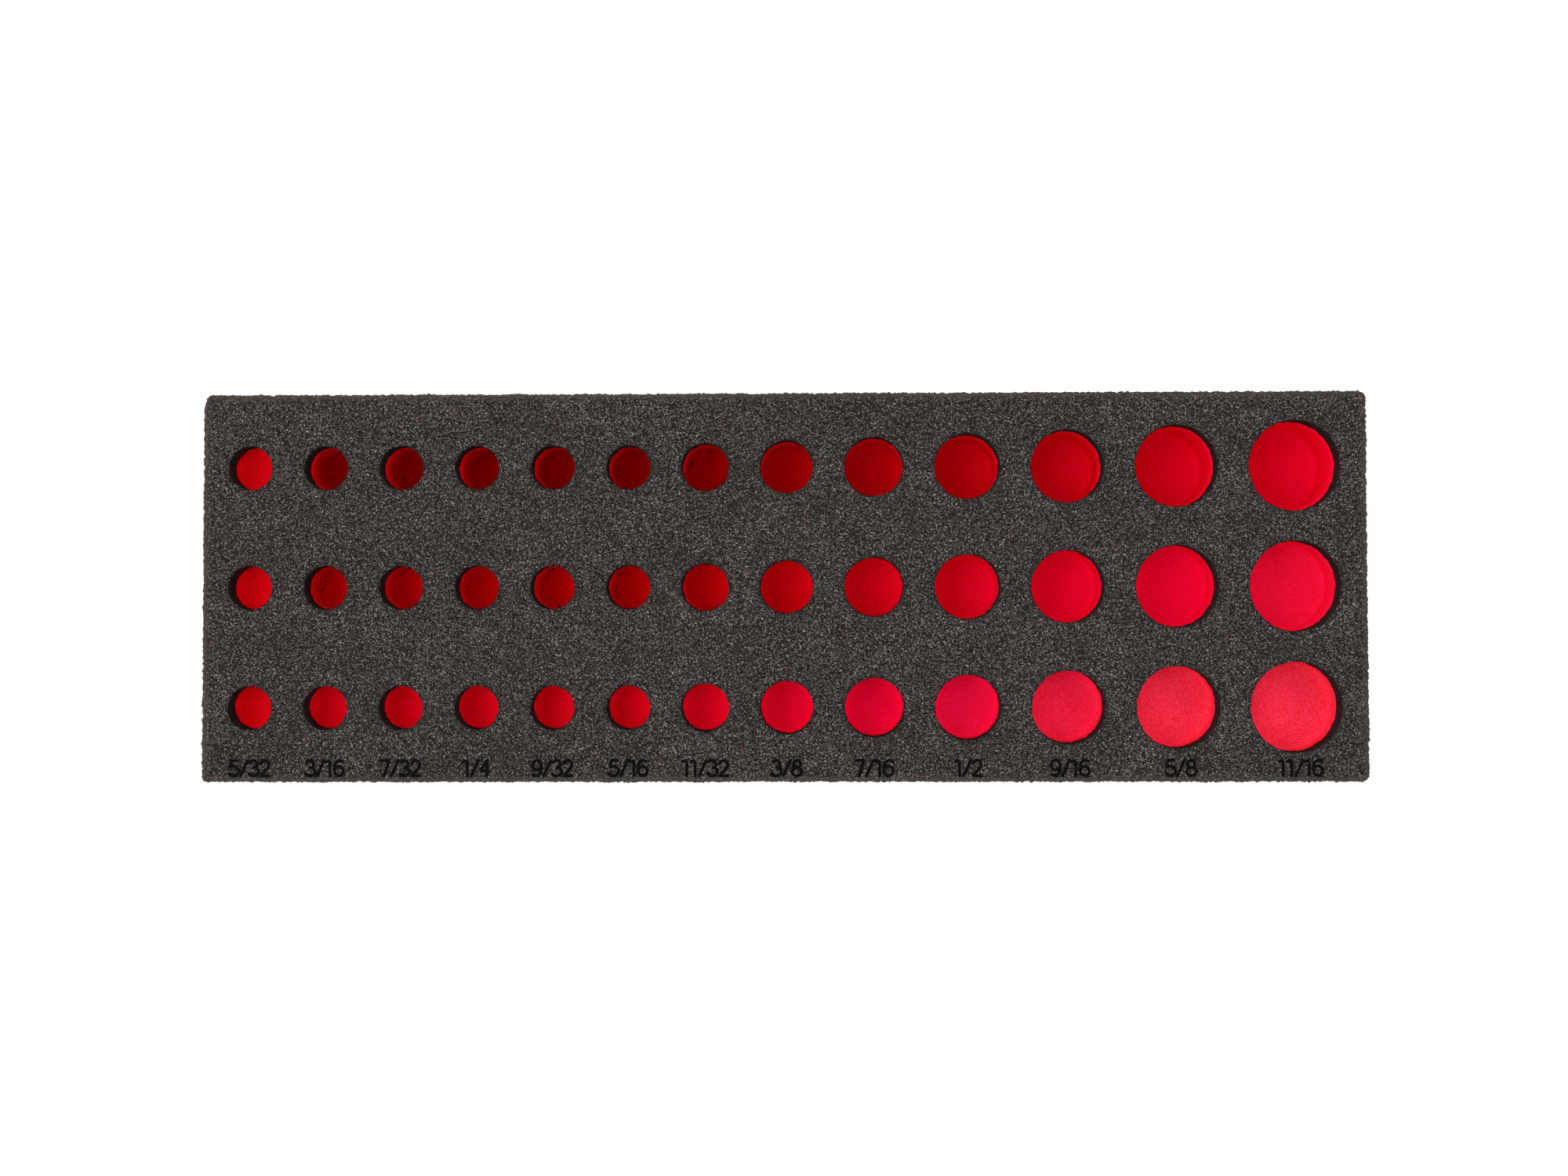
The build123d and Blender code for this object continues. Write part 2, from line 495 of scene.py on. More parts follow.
def pits_and_painted_shade(bench):
    """A mask of the dark pits along the corner between wall and floor: partly torn cells, partly painted
    shade.
    """
    place = bench.put("ShaderNodeTexCoord").outputs["Object"]
    holes = bench.put("ShaderNodeTexVoronoi", {"feature": "F1"}, Vector=place, Scale=1 / PIT_SIZE)
    chance = bench.put("ShaderNodeSeparateColor", None, Color=holes.outputs["Color"]).outputs[1]
    torn = bench.put("ShaderNodeTexNoise", None, Vector=place, Scale=1 / TEAR_SIZE, Detail=1.0).outputs[0]
    near_corner = bench.spread(bench.read("corner_gap"), *CORNER_REACH, 1.0, 0.0)
    return bench.times(bench.spread(holes.outputs["Distance"], *PIT_EDGE, 1.0, 0.0),
                       bench.math("GREATER_THAN", chance, UNPITTED_SHARE), near_corner,
                       bench.spread(torn, *TEAR_RANGE), bench.read("pitted"))


def make_red():
    """The base's material, and the dust's."""
    material, bench, shader, foam = start_foam(
        "red_foam", cell=0.25 * MM, bump_strength=0.5, bump_distance=0.1 * MM,
        roughness=0.9, specular=0.0)
    wall, openness = bench.read("wall"), bench.read("openness")
    speck = bench.spread(foam.outputs["Grain"], *BY_SPECK)
    # painted light: a brighter red on the walls of the open pockets and on the floor near them
    near_wall = bench.spread(bench.read("corner_gap"), 0.0, BRIGHT_REACH, 1.0, 0.0)
    painted_wall_light = bench.times(bench.math("MAXIMUM", wall, near_wall),
                            bench.spread(openness, *PAINTED_WALL_LIGHT_BY_OPENNESS))
    # red, green and blue by openness carry painted light and a painted pink highlight
    colour = bench.put(
        "ShaderNodeCombineColor", None,
        Red=bench.math("ADD", bench.spread(openness, *RED_AND_PAINTED_LIGHT_BY_OPENNESS), painted_wall_light),
        Green=bench.times(bench.spread(openness, *GREEN_AND_PAINTED_HIGHLIGHT_BY_OPENNESS), speck),
        Blue=bench.times(bench.spread(openness, *BLUE_AND_PAINTED_HIGHLIGHT_BY_OPENNESS), speck)).outputs[0]
    skin = bench.blend(bench.spread(foam.outputs["Grain"], *SKIN_GRAIN_RANGE), SKIN_DARK, SKIN_PALE)
    colour = bench.blend(bench.spread(wall, -1.0, -0.5, 1.0, 0.0), colour, skin)
    # the dark corner pits of the narrow deep pockets: partly torn cells, partly painted shade
    colour = bench.blend(pits_and_painted_shade(bench), colour, PIT_AND_SHADE_RED)
    bench.wire(colour, shader.inputs["Base Color"])
    return material


RED_FOAM = make_red()
print("material", RED_FOAM.name, "with", len(RED_FOAM.node_tree.nodes), "nodes")

# %% [markdown]
# The outline is a rectangle with rounded corners, walked at an even step. At each point the
# outward direction is kept too, because the rolled rim and the torn cells both push along it. The
# back left corner isn't square: the blade trimmed it at a slant.

# %% The outline, with its outward directions
LEFT_CORNER_RADIUS, RIGHT_CORNER_RADIUS = 1.5 * MM, 2.2 * MM
OUTLINE_STEP = 0.42 * MM
SLANT_WIDTH, SLANT_LENGTH = 1.1 * MM, 3.6 * MM
CORNER_STEPS = 6  # points round each corner


def walk_outline(low, high, step):
    """Points round the block, anticlockwise, and the outward direction at each."""
    corners = [((high[0], low[1]), RIGHT_CORNER_RADIUS, -90), ((high[0], high[1]), RIGHT_CORNER_RADIUS, 0),
               ((low[0], high[1]), LEFT_CORNER_RADIUS, 90), ((low[0], low[1]), LEFT_CORNER_RADIUS, 180)]
    middle = (np.array(low[:2]) + np.array(high[:2])) / 2
    points, away = [], []
    for index, (corner, radius, start) in enumerate(corners):
        corner = np.array(corner)
        centre = corner + np.sign(middle - corner) * radius
        for angle in np.radians(np.linspace(start, start + 90, CORNER_STEPS)):
            direction = np.array((math.cos(angle), math.sin(angle)))
            points.append(centre + radius * direction)
            away.append(direction)
        following, next_radius, _ = corners[(index + 1) % 4]
        following = np.array(following)
        next_centre = following + np.sign(middle - following) * next_radius
        direction = away[-1]
        begin, end = points[-1], next_centre + next_radius * direction
        count = max(2, int(np.linalg.norm(end - begin) / step))
        for share in np.arange(1, count) / count:
            points.append(begin * (1 - share) + end * share)
            away.append(direction)
    points = np.array(points)
    closeness = np.clip(1 - np.abs(points - (low[0], high[1])) / SLANT_LENGTH, 0, 1)
    points[:, 0] += SLANT_WIDTH * closeness[:, 0] * closeness[:, 1]
    return points, np.array(away)


outline, outward = walk_outline(sheet_low, sheet_high, OUTLINE_STEP)
print("outline of", len(outline), "points")

# %% [markdown]
# The numbers under the columns were engraved with a round bit in single strokes. Each digit is a
# few lines and arcs on a cell one unit high, written here after the shapes of engraving alphabets.
# A label sets its digits side by side and is centred under its column, and the labels of the widest
# pockets stand a little outwards of that.

# %% Engraved digits as strokes
DIGIT_HEIGHT = 4.5 * MM
LABEL_FROM_FRONT = 4.05 * MM
DIGIT_GAP = 0.13
LABEL_SPREAD, LABEL_SPREAD_START = 0.011, 55 * MM
ARC_STEP = 15  # degrees


def arc(cx, cy, rx, ry, start, end):
    """Points along part of an ellipse, from one angle to another in degrees."""
    count = max(3, int(abs(end - start) / ARC_STEP))
    angles = np.radians(np.linspace(start, end, count))
    return [(cx + rx * math.cos(a), cy + ry * math.sin(a)) for a in angles]


DIGITS = {  # the width, more room after it, and the strokes
    "1": (0.28, 0.14, [[(0, 0.90), (0.06, 0.96)] + arc(0.17, 0.86, 0.11, 0.11, 90, 0) + [(0.28, 0)]]),
    "2": (0.56, 0.0, [arc(0.28, 0.72, 0.27, 0.28, 165, -38) + [(0, 0), (0.56, 0)]]),
    "3": (0.60, 0.0, [arc(0.26, 0.76, 0.25, 0.24, 150, -80), arc(0.27, 0.27, 0.33, 0.27, 85, -155)]),
    "4": (0.62, 0.0, [[(0.45, 1.0), (0, 0.32), (0.62, 0.32)], [(0.45, 1.0), (0.45, 0)]]),
    "5": (0.62, 0.0, [[(0.54, 1.0), (0.12, 1.0), (0.06, 0.54)] + arc(0.29, 0.31, 0.32, 0.31, 122, -150)]),
    "6": (0.62, 0.0, [arc(0.36, 0.58, 0.35, 0.42, 55, 180) + arc(0.31, 0.31, 0.30, 0.31, 180, -180)]),
    "7": (0.56, 0.0, [[(0, 1.0), (0.54, 1.0), (0.22, 0)]]),
    "8": (0.62, 0.0, [arc(0.31, 0.76, 0.24, 0.24, -90, 270), arc(0.31, 0.27, 0.31, 0.27, 90, 450)]),
    "9": (0.62, 0.0, [arc(0.26, 0.42, 0.35, 0.42, -125, 0) + arc(0.31, 0.69, 0.30, 0.31, 0, 360)]),
    "/": (0.45, 0.0, [[(0, 0), (0.45, 1.0)]]),
}


def label_strokes(text, middle_x, low_y):
    """The strokes of a label in the block's plan, as arrays of points."""
    width = sum(DIGITS[c][0] + DIGITS[c][1] + DIGIT_GAP for c in text) - DIGIT_GAP - DIGITS[text[-1]][1]
    pen, strokes = -width / 2, []
    for character in text:
        size, after, lines = DIGITS[character]
        strokes += [(np.array(line) + (pen, 0)) * DIGIT_HEIGHT + (middle_x, low_y) for line in lines]
        pen += size + after + DIGIT_GAP
    return strokes


def all_strokes():
    """Every label, under the pockets of the front row."""
    strokes = []
    low_y = sheet_low[1] + LABEL_FROM_FRONT - DIGIT_HEIGHT / 2
    for pocket in POCKETS:
        if pocket["row"] == "short":
            x = pocket["centre"][0]
            x += LABEL_SPREAD * max(0.0, x - LABEL_SPREAD_START)
            strokes += label_strokes(pocket["size"], x, low_y)
    return strokes


STROKES = all_strokes()
print(len(STROKES), "strokes")

# %% [markdown]
# A stroke is a groove with sloping sides, so the mesh needs points on its middle line, on its slope,
# at its brink and past its scorched edge. The distance from the nearest stroke later says how deep
# each point is sunk.

# %% Points along the strokes
STROKE_HALF_WIDTH = 0.37 * MM
STROKE_STEP, STROKE_GAP, STROKE_REACH = 0.32 * MM, 0.14 * MM, 1.2 * MM
SLOPE, BRINK, SCORCHED = 0.75, 1.1, 1.45  # ways from the middle line, in half widths


def resample(line, step):
    """Points along a polyline at an even step, with both ends kept."""
    along = np.concatenate([[0], np.cumsum(np.linalg.norm(np.diff(line, axis=0), axis=1))])
    at = np.linspace(0, along[-1], max(2, int(round(along[-1] / step)) + 1))
    return np.stack([np.interp(at, along, line[:, k]) for k in range(2)], axis=1)


def stroke_distance(points):
    """How far each plan point lies from the nearest stroke's middle line, where that is near."""
    nearest = np.full(len(points), FAR)
    for line in STROKES:
        for a, b in zip(line[:-1], line[1:]):
            low, high = np.minimum(a, b) - STROKE_REACH, np.maximum(a, b) + STROKE_REACH
            near = np.all((points > low) & (points < high), axis=1)
            if near.any():
                p, d = points[near] - a, b - a
                t = np.clip(p @ d / max(d @ d, TINY), 0, 1)
                nearest[near] = np.minimum(nearest[near], np.hypot(*(p - t[:, None] * d).T))
    return nearest


def stroke_points():
    """Plan points along each stroke: on its middle line, to both sides of it and past its ends."""
    found = []
    for line in STROKES:
        even = resample(line, STROKE_STEP)
        along = np.gradient(even, axis=0)
        along /= np.linalg.norm(along, axis=1)[:, None]
        side = np.stack([-along[:, 1], along[:, 0]], axis=1)
        for offset in (-SCORCHED, -BRINK, -SLOPE, 0, SLOPE, BRINK, SCORCHED):
            found.append(even + side * offset * STROKE_HALF_WIDTH)
        for end, sign in ((0, -1), (-1, 1)):
            tip = sign * along[end] * STROKE_HALF_WIDTH
            found.append(even[end] + tip * np.array([[SLOPE], [BRINK], [SCORCHED]]))
    return np.concatenate(found)


def thin_out(points, gap):
    """The points that are left when those closer than a gap to an earlier one are dropped."""
    cells, kept = {}, []
    for point in points:
        column, row = int(point[0] // gap), int(point[1] // gap)
        around = [q for dx in (-1, 0, 1) for dy in (-1, 0, 1)
                  for q in cells.get((column + dx, row + dy), ())]
        if all((point[0] - q[0]) ** 2 + (point[1] - q[1]) ** 2 > gap * gap for q in around):
            cells.setdefault((column, row), []).append(point)
            kept.append(point)
    return np.array(kept)


engraving = thin_out(stroke_points(), STROKE_GAP)
print(len(engraving), "points along the strokes")

# %% [markdown]
# The charcoal sheet's top is drawn in plan first, and only then does each point get its height.
# Points go where shape needs them: round each rim, along each engraved stroke, and thinly in
# between, on a grid that is shaken so that its lines don't show.

# %% Points in the plan of the sheet's top
RIM_SEGMENTS = 128
LIP = 0.15 * MM
ROLL_WIDTH, ROLL_DROP = 1.25 * MM, 0.9 * MM
FIELD_STEP, FIELD_JITTER, PLAN_SEED = 1.25 * MM, 0.3, 7
FIELD_FROM_RIMS, FIELD_FROM_ROLL, FIELD_FROM_STROKES = 0.7 * MM, 0.6 * MM, 0.9 * MM
ENGRAVING_FROM_ROLL = 0.15 * MM


def pocket_circles(lip=0.0):
    """A regular polygon round each pocket, its first corner towards +X, a lip wider than the wall."""
    angles = np.arange(RIM_SEGMENTS) * 2 * math.pi / RIM_SEGMENTS
    unit = np.stack([np.cos(angles), np.sin(angles)], axis=1)
    return [p["centre"] + (p["radius"] + lip) * unit for p in POCKETS]


def scatter_field(step, clear_of_rims, clear_of_edge):
    """Plan points on a jittered grid, clear of the pockets and of the outline."""
    random = np.random.default_rng(PLAN_SEED)
    xs = np.arange(sheet_low[0] + clear_of_edge, sheet_high[0] - clear_of_edge, step)
    ys = np.arange(sheet_low[1] + clear_of_edge, sheet_high[1] - clear_of_edge, step)
    grid = np.stack(np.meshgrid(xs, ys), axis=-1).reshape(-1, 2)
    grid += random.uniform(-FIELD_JITTER, FIELD_JITTER, grid.shape) * step
    keep = np.all((grid > sheet_low[:2] + clear_of_edge) & (grid < sheet_high[:2] - clear_of_edge), axis=1)
    for pocket in POCKETS:
        keep &= np.hypot(*(grid - pocket["centre"]).T) > pocket["radius"] + clear_of_rims
    return grid[keep]


engraving = engraving[engraving[:, 1] > sheet_low[1] + ROLL_WIDTH + ENGRAVING_FROM_ROLL]
field = scatter_field(FIELD_STEP, FIELD_FROM_RIMS, ROLL_WIDTH + FIELD_FROM_ROLL)
field = field[stroke_distance(field) > FIELD_FROM_STROKES]
top_loops = [outline - outward * ROLL_WIDTH] + pocket_circles(LIP)
print(len(field), "field points,", len(top_loops), "loops")

# %% [markdown]
# A constrained triangulation joins the points and keeps the sides of the loops as edges. It fills
# everything up to its convex hull, so the triangles that lie outside the outline are thrown away,
# and so are those that fall in a pocket.

# %% Triangles in that plan
SAME_PLACE = 1e-9  # points closer than this are one
LEAST_HEIGHT = 0.0001 * MM  # a flatter triangle is only rounding, on a straight side of the outline


def inside_loop(points, loop):
    """Which points lie inside a closed loop, by counting the loop's sides to the right of each."""
    found = np.zeros(len(points), bool)
    for (ax, ay), (bx, by) in zip(loop, np.roll(loop, -1, axis=0)):
        level = (ay > points[:, 1]) != (by > points[:, 1])
        found[level] ^= points[level, 0] < ax + (points[level, 1] - ay) * (bx - ax) / (by - ay)
    return found


def triangulate(loops, loose):
    """A triangulation of closed loops, the outermost first, with loose points inside them.

    Returns plan points and triangles.
    """
    points, edges = [], []
    for loop in loops:
        first = len(points)
        points += list(loop)
        edges += [(first + i, first + (i + 1) % len(loop)) for i in range(len(loop))]
    points += list(loose)
    found = delaunay_2d_cdt([Vector(p) for p in points], edges, [], 0, SAME_PLACE, False)
    flat, faces = np.array([tuple(p) for p in found[0]]), np.array(found[2])
    faces = faces[inside_loop(flat[faces].mean(axis=1), loops[0])]
    (ax, ay), (bx, by) = ((flat[faces[:, k]] - flat[faces[:, 0]]).T for k in (1, 2))
    longest = np.max([np.hypot(ax, ay), np.hypot(bx, by), np.hypot(ax - bx, ay - by)], axis=0)
    return flat, faces[np.abs(ax * by - ay * bx) / longest > LEAST_HEIGHT]


def outside_pockets(points, faces, lip=0.0):
    """Only the triangles whose middle lies in no pocket, each pocket being a lip wider than its wall."""
    middles = points[faces].mean(axis=1)
    keep = np.ones(len(faces), bool)
    for pocket in POCKETS:
        keep &= np.hypot(*(middles - pocket["centre"]).T) > pocket["radius"] + lip
    return faces[keep]


top_points, top_faces = triangulate(top_loops, np.concatenate([engraving, field]))
top_faces = outside_pockets(top_points, top_faces, LIP)
print("top:", len(top_points), "points,", len(top_faces), "triangles")

# %% [markdown]
# Rings of points become walls, because a loft joins each ring to the next one. Foam tears a little
# wherever it is cut, so each point also keeps how far a cut may move it and which way. That is most
# on the outer sides, less at the pockets, and fades out across the level faces.

# %% Mesh helpers: lofts, cuts, and a mesh with its attributes
CUT_FADE = 1.3 * MM
SHEET_POCKET_SHARE, BASE_POCKET_SHARE = 0.55, 0.3
ON_OUTLINE = 0.01 * MM


def loft(rings, first):
    """Quads between rings of equal length, the rings numbered on from first."""
    count, faces = len(rings[0]), []
    for k in range(len(rings) - 1):
        a = first + k * count
        for i in range(count):
            j = (i + 1) % count
            faces.append((a + i, a + count + i, a + count + j, a + j))
    return faces


def build_mesh(name, points, faces, attributes):
    """A mesh object with float or vector attributes on its points."""
    mesh = bpy.data.meshes.new(name)
    mesh.from_pydata([tuple(p) for p in points], [], [tuple(int(i) for i in f) for f in faces])
    for label, values in attributes.items():
        kind = "FLOAT_VECTOR" if np.ndim(values) == 2 else "FLOAT"
        layer = mesh.attributes.new(label, kind, "POINT")
        layer.data.foreach_set("vector" if kind == "FLOAT_VECTOR" else "value", np.ravel(values))
    built = bpy.data.objects.new(name, mesh)
    bpy.context.collection.objects.link(built)
    return built


def with_height(points, height):
    """Plan points, all at one height."""
    return np.column_stack([points, np.full(len(points), height)])


def flat_away(directions):
    """Plan directions, all level."""
    return np.column_stack([directions, np.zeros(len(directions))])


def cut_of_plan(points, pocket_share):
    """For plan points: how much a pocket's cut moves each, and which way that cut faces."""
    cut, away = np.zeros(len(points)), np.zeros((len(points), 3))
    for pocket in POCKETS:
        offset = points - pocket["centre"]
        distance = np.hypot(*offset.T)
        share = np.clip(1 - (distance - pocket["radius"] - LIP) / CUT_FADE, 0, 1)
        near = share > cut
        cut[near] = share[near] * pocket_share
        away[near] = flat_away(-offset[near] / distance[near][:, None])
    return cut, away


def cut_with_outline(points, around, facing, pocket_share):
    """The same for a level face that reaches the outline, whose points move in full."""
    cut, away = cut_of_plan(points, pocket_share)
    distance = np.hypot(points[:, None, 0] - around[None, :, 0], points[:, None, 1] - around[None, :, 1])
    outer = distance.min(axis=1) < ON_OUTLINE
    cut[outer] = 1.0
    away[outer] = flat_away(facing[distance.argmin(axis=1)[outer]])
    return cut, away


cut_points = int((cut_of_plan(top_points, SHEET_POCKET_SHARE)[0] > 0).sum())
print(cut_points, "points of the top move with a pocket's cut")

# %% [markdown]
# The outer side of the sheet is one loft: five rings over the rolled rim, then rings down to the
# bond. The underside is a coarse triangulation of the outline and the pockets. The pockets stay open
# here, because a geometry tree lines them next.

# %% The charcoal sheet without its pocket walls
STROKE_DEPTH = 0.9 * MM
BRINK_FADE, SCORCH_FADE = 0.5, 0.35  # how wide both fade out, in half widths of a stroke
ROLL_TURNS = np.radians((0, 22.5, 45, 67.5, 90))
ROLL_CUTS = [0.35, 0.6, 0.85, 1.0, 1.0]
SIDE_ROWS, SIDE_RIM = 8, 0.25


def inside_stroke(distance, edge, fade):
    """1 in a stroke and 0 past its edge; edge and fade are in half widths of the stroke."""
    return np.clip((STROKE_HALF_WIDTH * edge - distance) / (STROKE_HALF_WIDTH * fade), 0, 1)


def sheet_rings():
    """Rings round the sheet: over the rolled rim, then down to the bond."""
    rings = []
    for turn in ROLL_TURNS:
        inset = ROLL_WIDTH * (1 - math.sin(turn))
        rings.append(with_height(outline - outward * inset, TOP - ROLL_DROP * (1 - math.cos(turn))))
    for height in np.linspace(TOP - ROLL_DROP, BOND, SIDE_ROWS + 1)[1:]:
        rings.append(with_height(outline, height))
    return rings


def sheet_shell():
    """The top, the outer side and the underside, in one mesh."""
    distance = stroke_distance(top_points)
    engraved = inside_stroke(distance, SCORCHED, SCORCH_FADE)
    top = np.column_stack([top_points, TOP - STROKE_DEPTH * inside_stroke(distance, BRINK, BRINK_FADE)])
    cut, away = cut_of_plan(top_points, SHEET_POCKET_SHARE)
    rings = sheet_rings()
    under, under_faces = triangulate([outline] + pocket_circles(), [])
    under_cut, under_away = cut_with_outline(under, outline, outward, SHEET_POCKET_SHARE)
    side = np.concatenate(rings)
    faces = [tuple(f) for f in top_faces] + loft(rings, len(top))
    faces += [tuple(f + len(top) + len(side)) for f in outside_pockets(under, under_faces)[:, ::-1]]
    side_cut = np.repeat(ROLL_CUTS + [1.0] * SIDE_ROWS, len(outline))
    side_rim = np.repeat([1.0] * len(ROLL_CUTS) + [SIDE_RIM] * SIDE_ROWS, len(outline))
    points = np.concatenate([top, side, with_height(under, BOND)])
    return build_mesh("charcoal_foam_sheet", points, faces, {
        "cut": np.concatenate([cut, side_cut, under_cut]),
        "away": np.concatenate([away, np.tile(flat_away(outward), (len(rings), 1)), under_away]),
        "rim": np.concatenate([np.zeros(len(top)), side_rim, np.zeros(len(under))]),
        "engraved": np.concatenate([engraved, np.zeros(len(side) + len(under))]),
    })


sheet = sheet_shell()
print("sheet shell:", len(sheet.data.vertices), "points")

# %% [markdown]
# Thirty-nine pockets differ only in place, radius and depth, so a geometry tree makes them all. It
# takes one point for each, hangs a lining on it, welds the linings to the shell and roughens every
# cut. The points carry what the tree and the materials need to know of each pocket.

# %% Points that stand for the pockets
WIDE_FROM = 7.5 * MM
CLOSED_RADIUS = 4.0 * MM
SHALLOW_OPENNESS_SHARE = 0.6  # the shallowest pockets count as less open, so they get less of the pink painted highlight
SHALLOW_LIMIT = 1.1  # times the shallowest depth


def pocket_points(name, bottom_of):
    """One point for each pocket, on the plane that its tube hangs from."""
    top = TOP if name.startswith("charcoal") else BOND
    points = [(*p["centre"], top) for p in POCKETS]
    radii = np.array([p["radius"] for p in POCKETS])
    sunk = np.array([TOP - p["floor"] for p in POCKETS])
    deep, shallow_share = sunk > sunk.max() / 2, np.where(sunk < sunk.min() * SHALLOW_LIMIT, SHALLOW_OPENNESS_SHARE, 1.0)
    return build_mesh(name, points, [], {
        "radius": radii,
        "depth": np.array([top - bottom_of(p) for p in POCKETS]),
        "pocket_centre": np.array(points),
        "openness": (radii - CLOSED_RADIUS) / sunk * shallow_share,
        # the narrow deep pockets get the dark corner pits, which are partly painted shade
        "pitted": ((radii < WIDE_FROM) & deep).astype(float),
    })


holes = pocket_points("charcoal_pocket_points", lambda pocket: BOND)
print(len(holes.data.vertices), "points for the holes in the sheet")

# %% [markdown]
# The tree is long, so helpers build it, one for each of its parts. The first makes a lining of unit
# size: a tube with its faces turned inward, and a disc for the floor. The second marks how its
# corners are cut, and crowds the tube's rows upward, where the torn mouth needs them most.

# %% The unit lining, a part of the tree
SPOT = "GeometryNodeInputPosition"
WALL_FROM = 0.9, 0.999  # of the radius, where the floor ends and the cut wall sets in


def unit_lining(bench, values):
    """A tube that hangs one unit down, and where it is asked for, a disc across its lower end."""
    tube = bench.put("GeometryNodeMeshCylinder", {"fill_type": "NONE"}, Vertices=values["Segments"],
                     Side_Segments=values["Rows"], Radius=1.0, Depth=1.0).outputs["Mesh"]
    tube = bench.put("GeometryNodeTransform", None, Geometry=tube, Translation=(0, 0, -0.5)).outputs[0]
    tube = bench.put("GeometryNodeFlipFaces", None, Mesh=tube).outputs[0]
    disc = bench.put("GeometryNodeMeshCone", {"fill_type": "NONE"}, Vertices=values["Segments"],
                     Side_Segments=values["Floor Rings"], Radius_Top=0.0, Radius_Bottom=1.0,
                     Depth=0.0).outputs["Mesh"]
    disc = bench.put("GeometryNodeTransform", None, Geometry=disc, Translation=(0, 0, -1.0)).outputs[0]
    tube, disc = bench.store(tube, "wall", "FLOAT", 1.0), bench.store(disc, "wall", "FLOAT", 0.0)
    floor = bench.put("GeometryNodeSwitch", {"input_type": "GEOMETRY"}, Switch=values["Has Floors"],
                      **{"True": disc})
    return bench.join(tube, floor.outputs[0])


def mark_cuts(bench, values, lining):
    """Tells each corner which way is inward and how much a cut moves it. Rows crowd upward."""
    spot = bench.put(SPOT).outputs[0]
    flat = bench.vector("MULTIPLY", spot, (1, 1, 0))
    inward = bench.scaled(bench.vector("NORMALIZE", flat), -1.0)
    lining = bench.store(lining, "away", "FLOAT_VECTOR", inward)
    on_wall = bench.spread(bench.vector("LENGTH", flat), *WALL_FROM)
    lining = bench.store(lining, "cut", "FLOAT", bench.times(on_wall, values["Pocket Share"]))
    split = bench.put("ShaderNodeSeparateXYZ", None, Vector=spot).outputs
    down = bench.math("POWER", bench.times(split["Z"], -1.0), values["Row Bias"])
    crowded = bench.put("ShaderNodeCombineXYZ", None, X=split["X"], Y=split["Y"], Z=bench.times(down, -1.0))
    return bench.put("GeometryNodeSetPosition", None, Geometry=lining,
                     Position=crowded.outputs[0]).outputs[0]


# %% [markdown]
# Each lining hangs at its pocket's point, as wide and as deep as the pocket. Its mouth flares out
# over a small lip to meet the edge of the hole in the shell, and is welded to it there.

# %% Hanging and welding the linings, a part of the tree
WELD_DISTANCE = 0.003 * MM


def hang_linings(bench, values, lining):
    """One lining for each pocket, as wide and as deep as its point says."""
    points = bench.put("GeometryNodeObjectInfo", None, Object=values["Pockets"]).outputs["Geometry"]
    radius, depth = bench.named("radius"), bench.named("depth")
    size = bench.put("ShaderNodeCombineXYZ", None, X=radius, Y=radius, Z=depth).outputs[0]
    linings = bench.put("GeometryNodeInstanceOnPoints", None, Points=points, Instance=lining,
                        Scale=size).outputs[0]
    linings = bench.put("GeometryNodeRealizeInstances", None, Geometry=linings).outputs[0]
    return bench.put("GeometryNodeSetShadeSmooth", None, Geometry=linings).outputs[0]


def weld_to_shell(bench, values, linings):
    """Keeps how far each corner lies from the one between wall and floor, flares the mouths, welds."""
    from_centre = bench.vector("SUBTRACT", bench.put(SPOT).outputs[0],
                               bench.named("pocket_centre", "FLOAT_VECTOR"))
    below = bench.times(bench.axis(from_centre, "Z"), -1.0)
    across = bench.vector("LENGTH", bench.vector("MULTIPLY", from_centre, (1, 1, 0)))
    gap = bench.math("ADD", bench.math("SUBTRACT", bench.named("depth"), below),
                     bench.math("SUBTRACT", bench.named("radius"), across))
    linings = bench.store(linings, "corner_gap", "FLOAT", gap)
    flare = bench.spread(below, 0.0, bench.times(values["Lip"], 2.0), 1.0, 0.0)
    flare = bench.times(flare, flare, values["Lip"])
    opened = bench.scaled(bench.named("away", "FLOAT_VECTOR"), bench.times(flare, -1.0))
    linings = bench.put("GeometryNodeSetPosition", None, Geometry=linings, Offset=opened).outputs[0]
    return bench.put("GeometryNodeMergeByDistance", None, Geometry=bench.join(values["Geometry"], linings),
                     Distance=WELD_DISTANCE).outputs[0]


# %% [markdown]
# The blade leaves upright streaks, so the noise is stretched in height before it pushes a cut in
# and out. Level faces are a little uneven too, except the underside, which lies flat.

# %% Roughening the cuts, and the whole tree
UPRIGHT_STRETCH = 0.22
UNEVEN_LENGTH = 2.6 * MM
FLAT_BELOW = 0.1 * MM
RAG_DEPTH, RAG_LENGTH = 1.1 * MM, 1.0 * MM


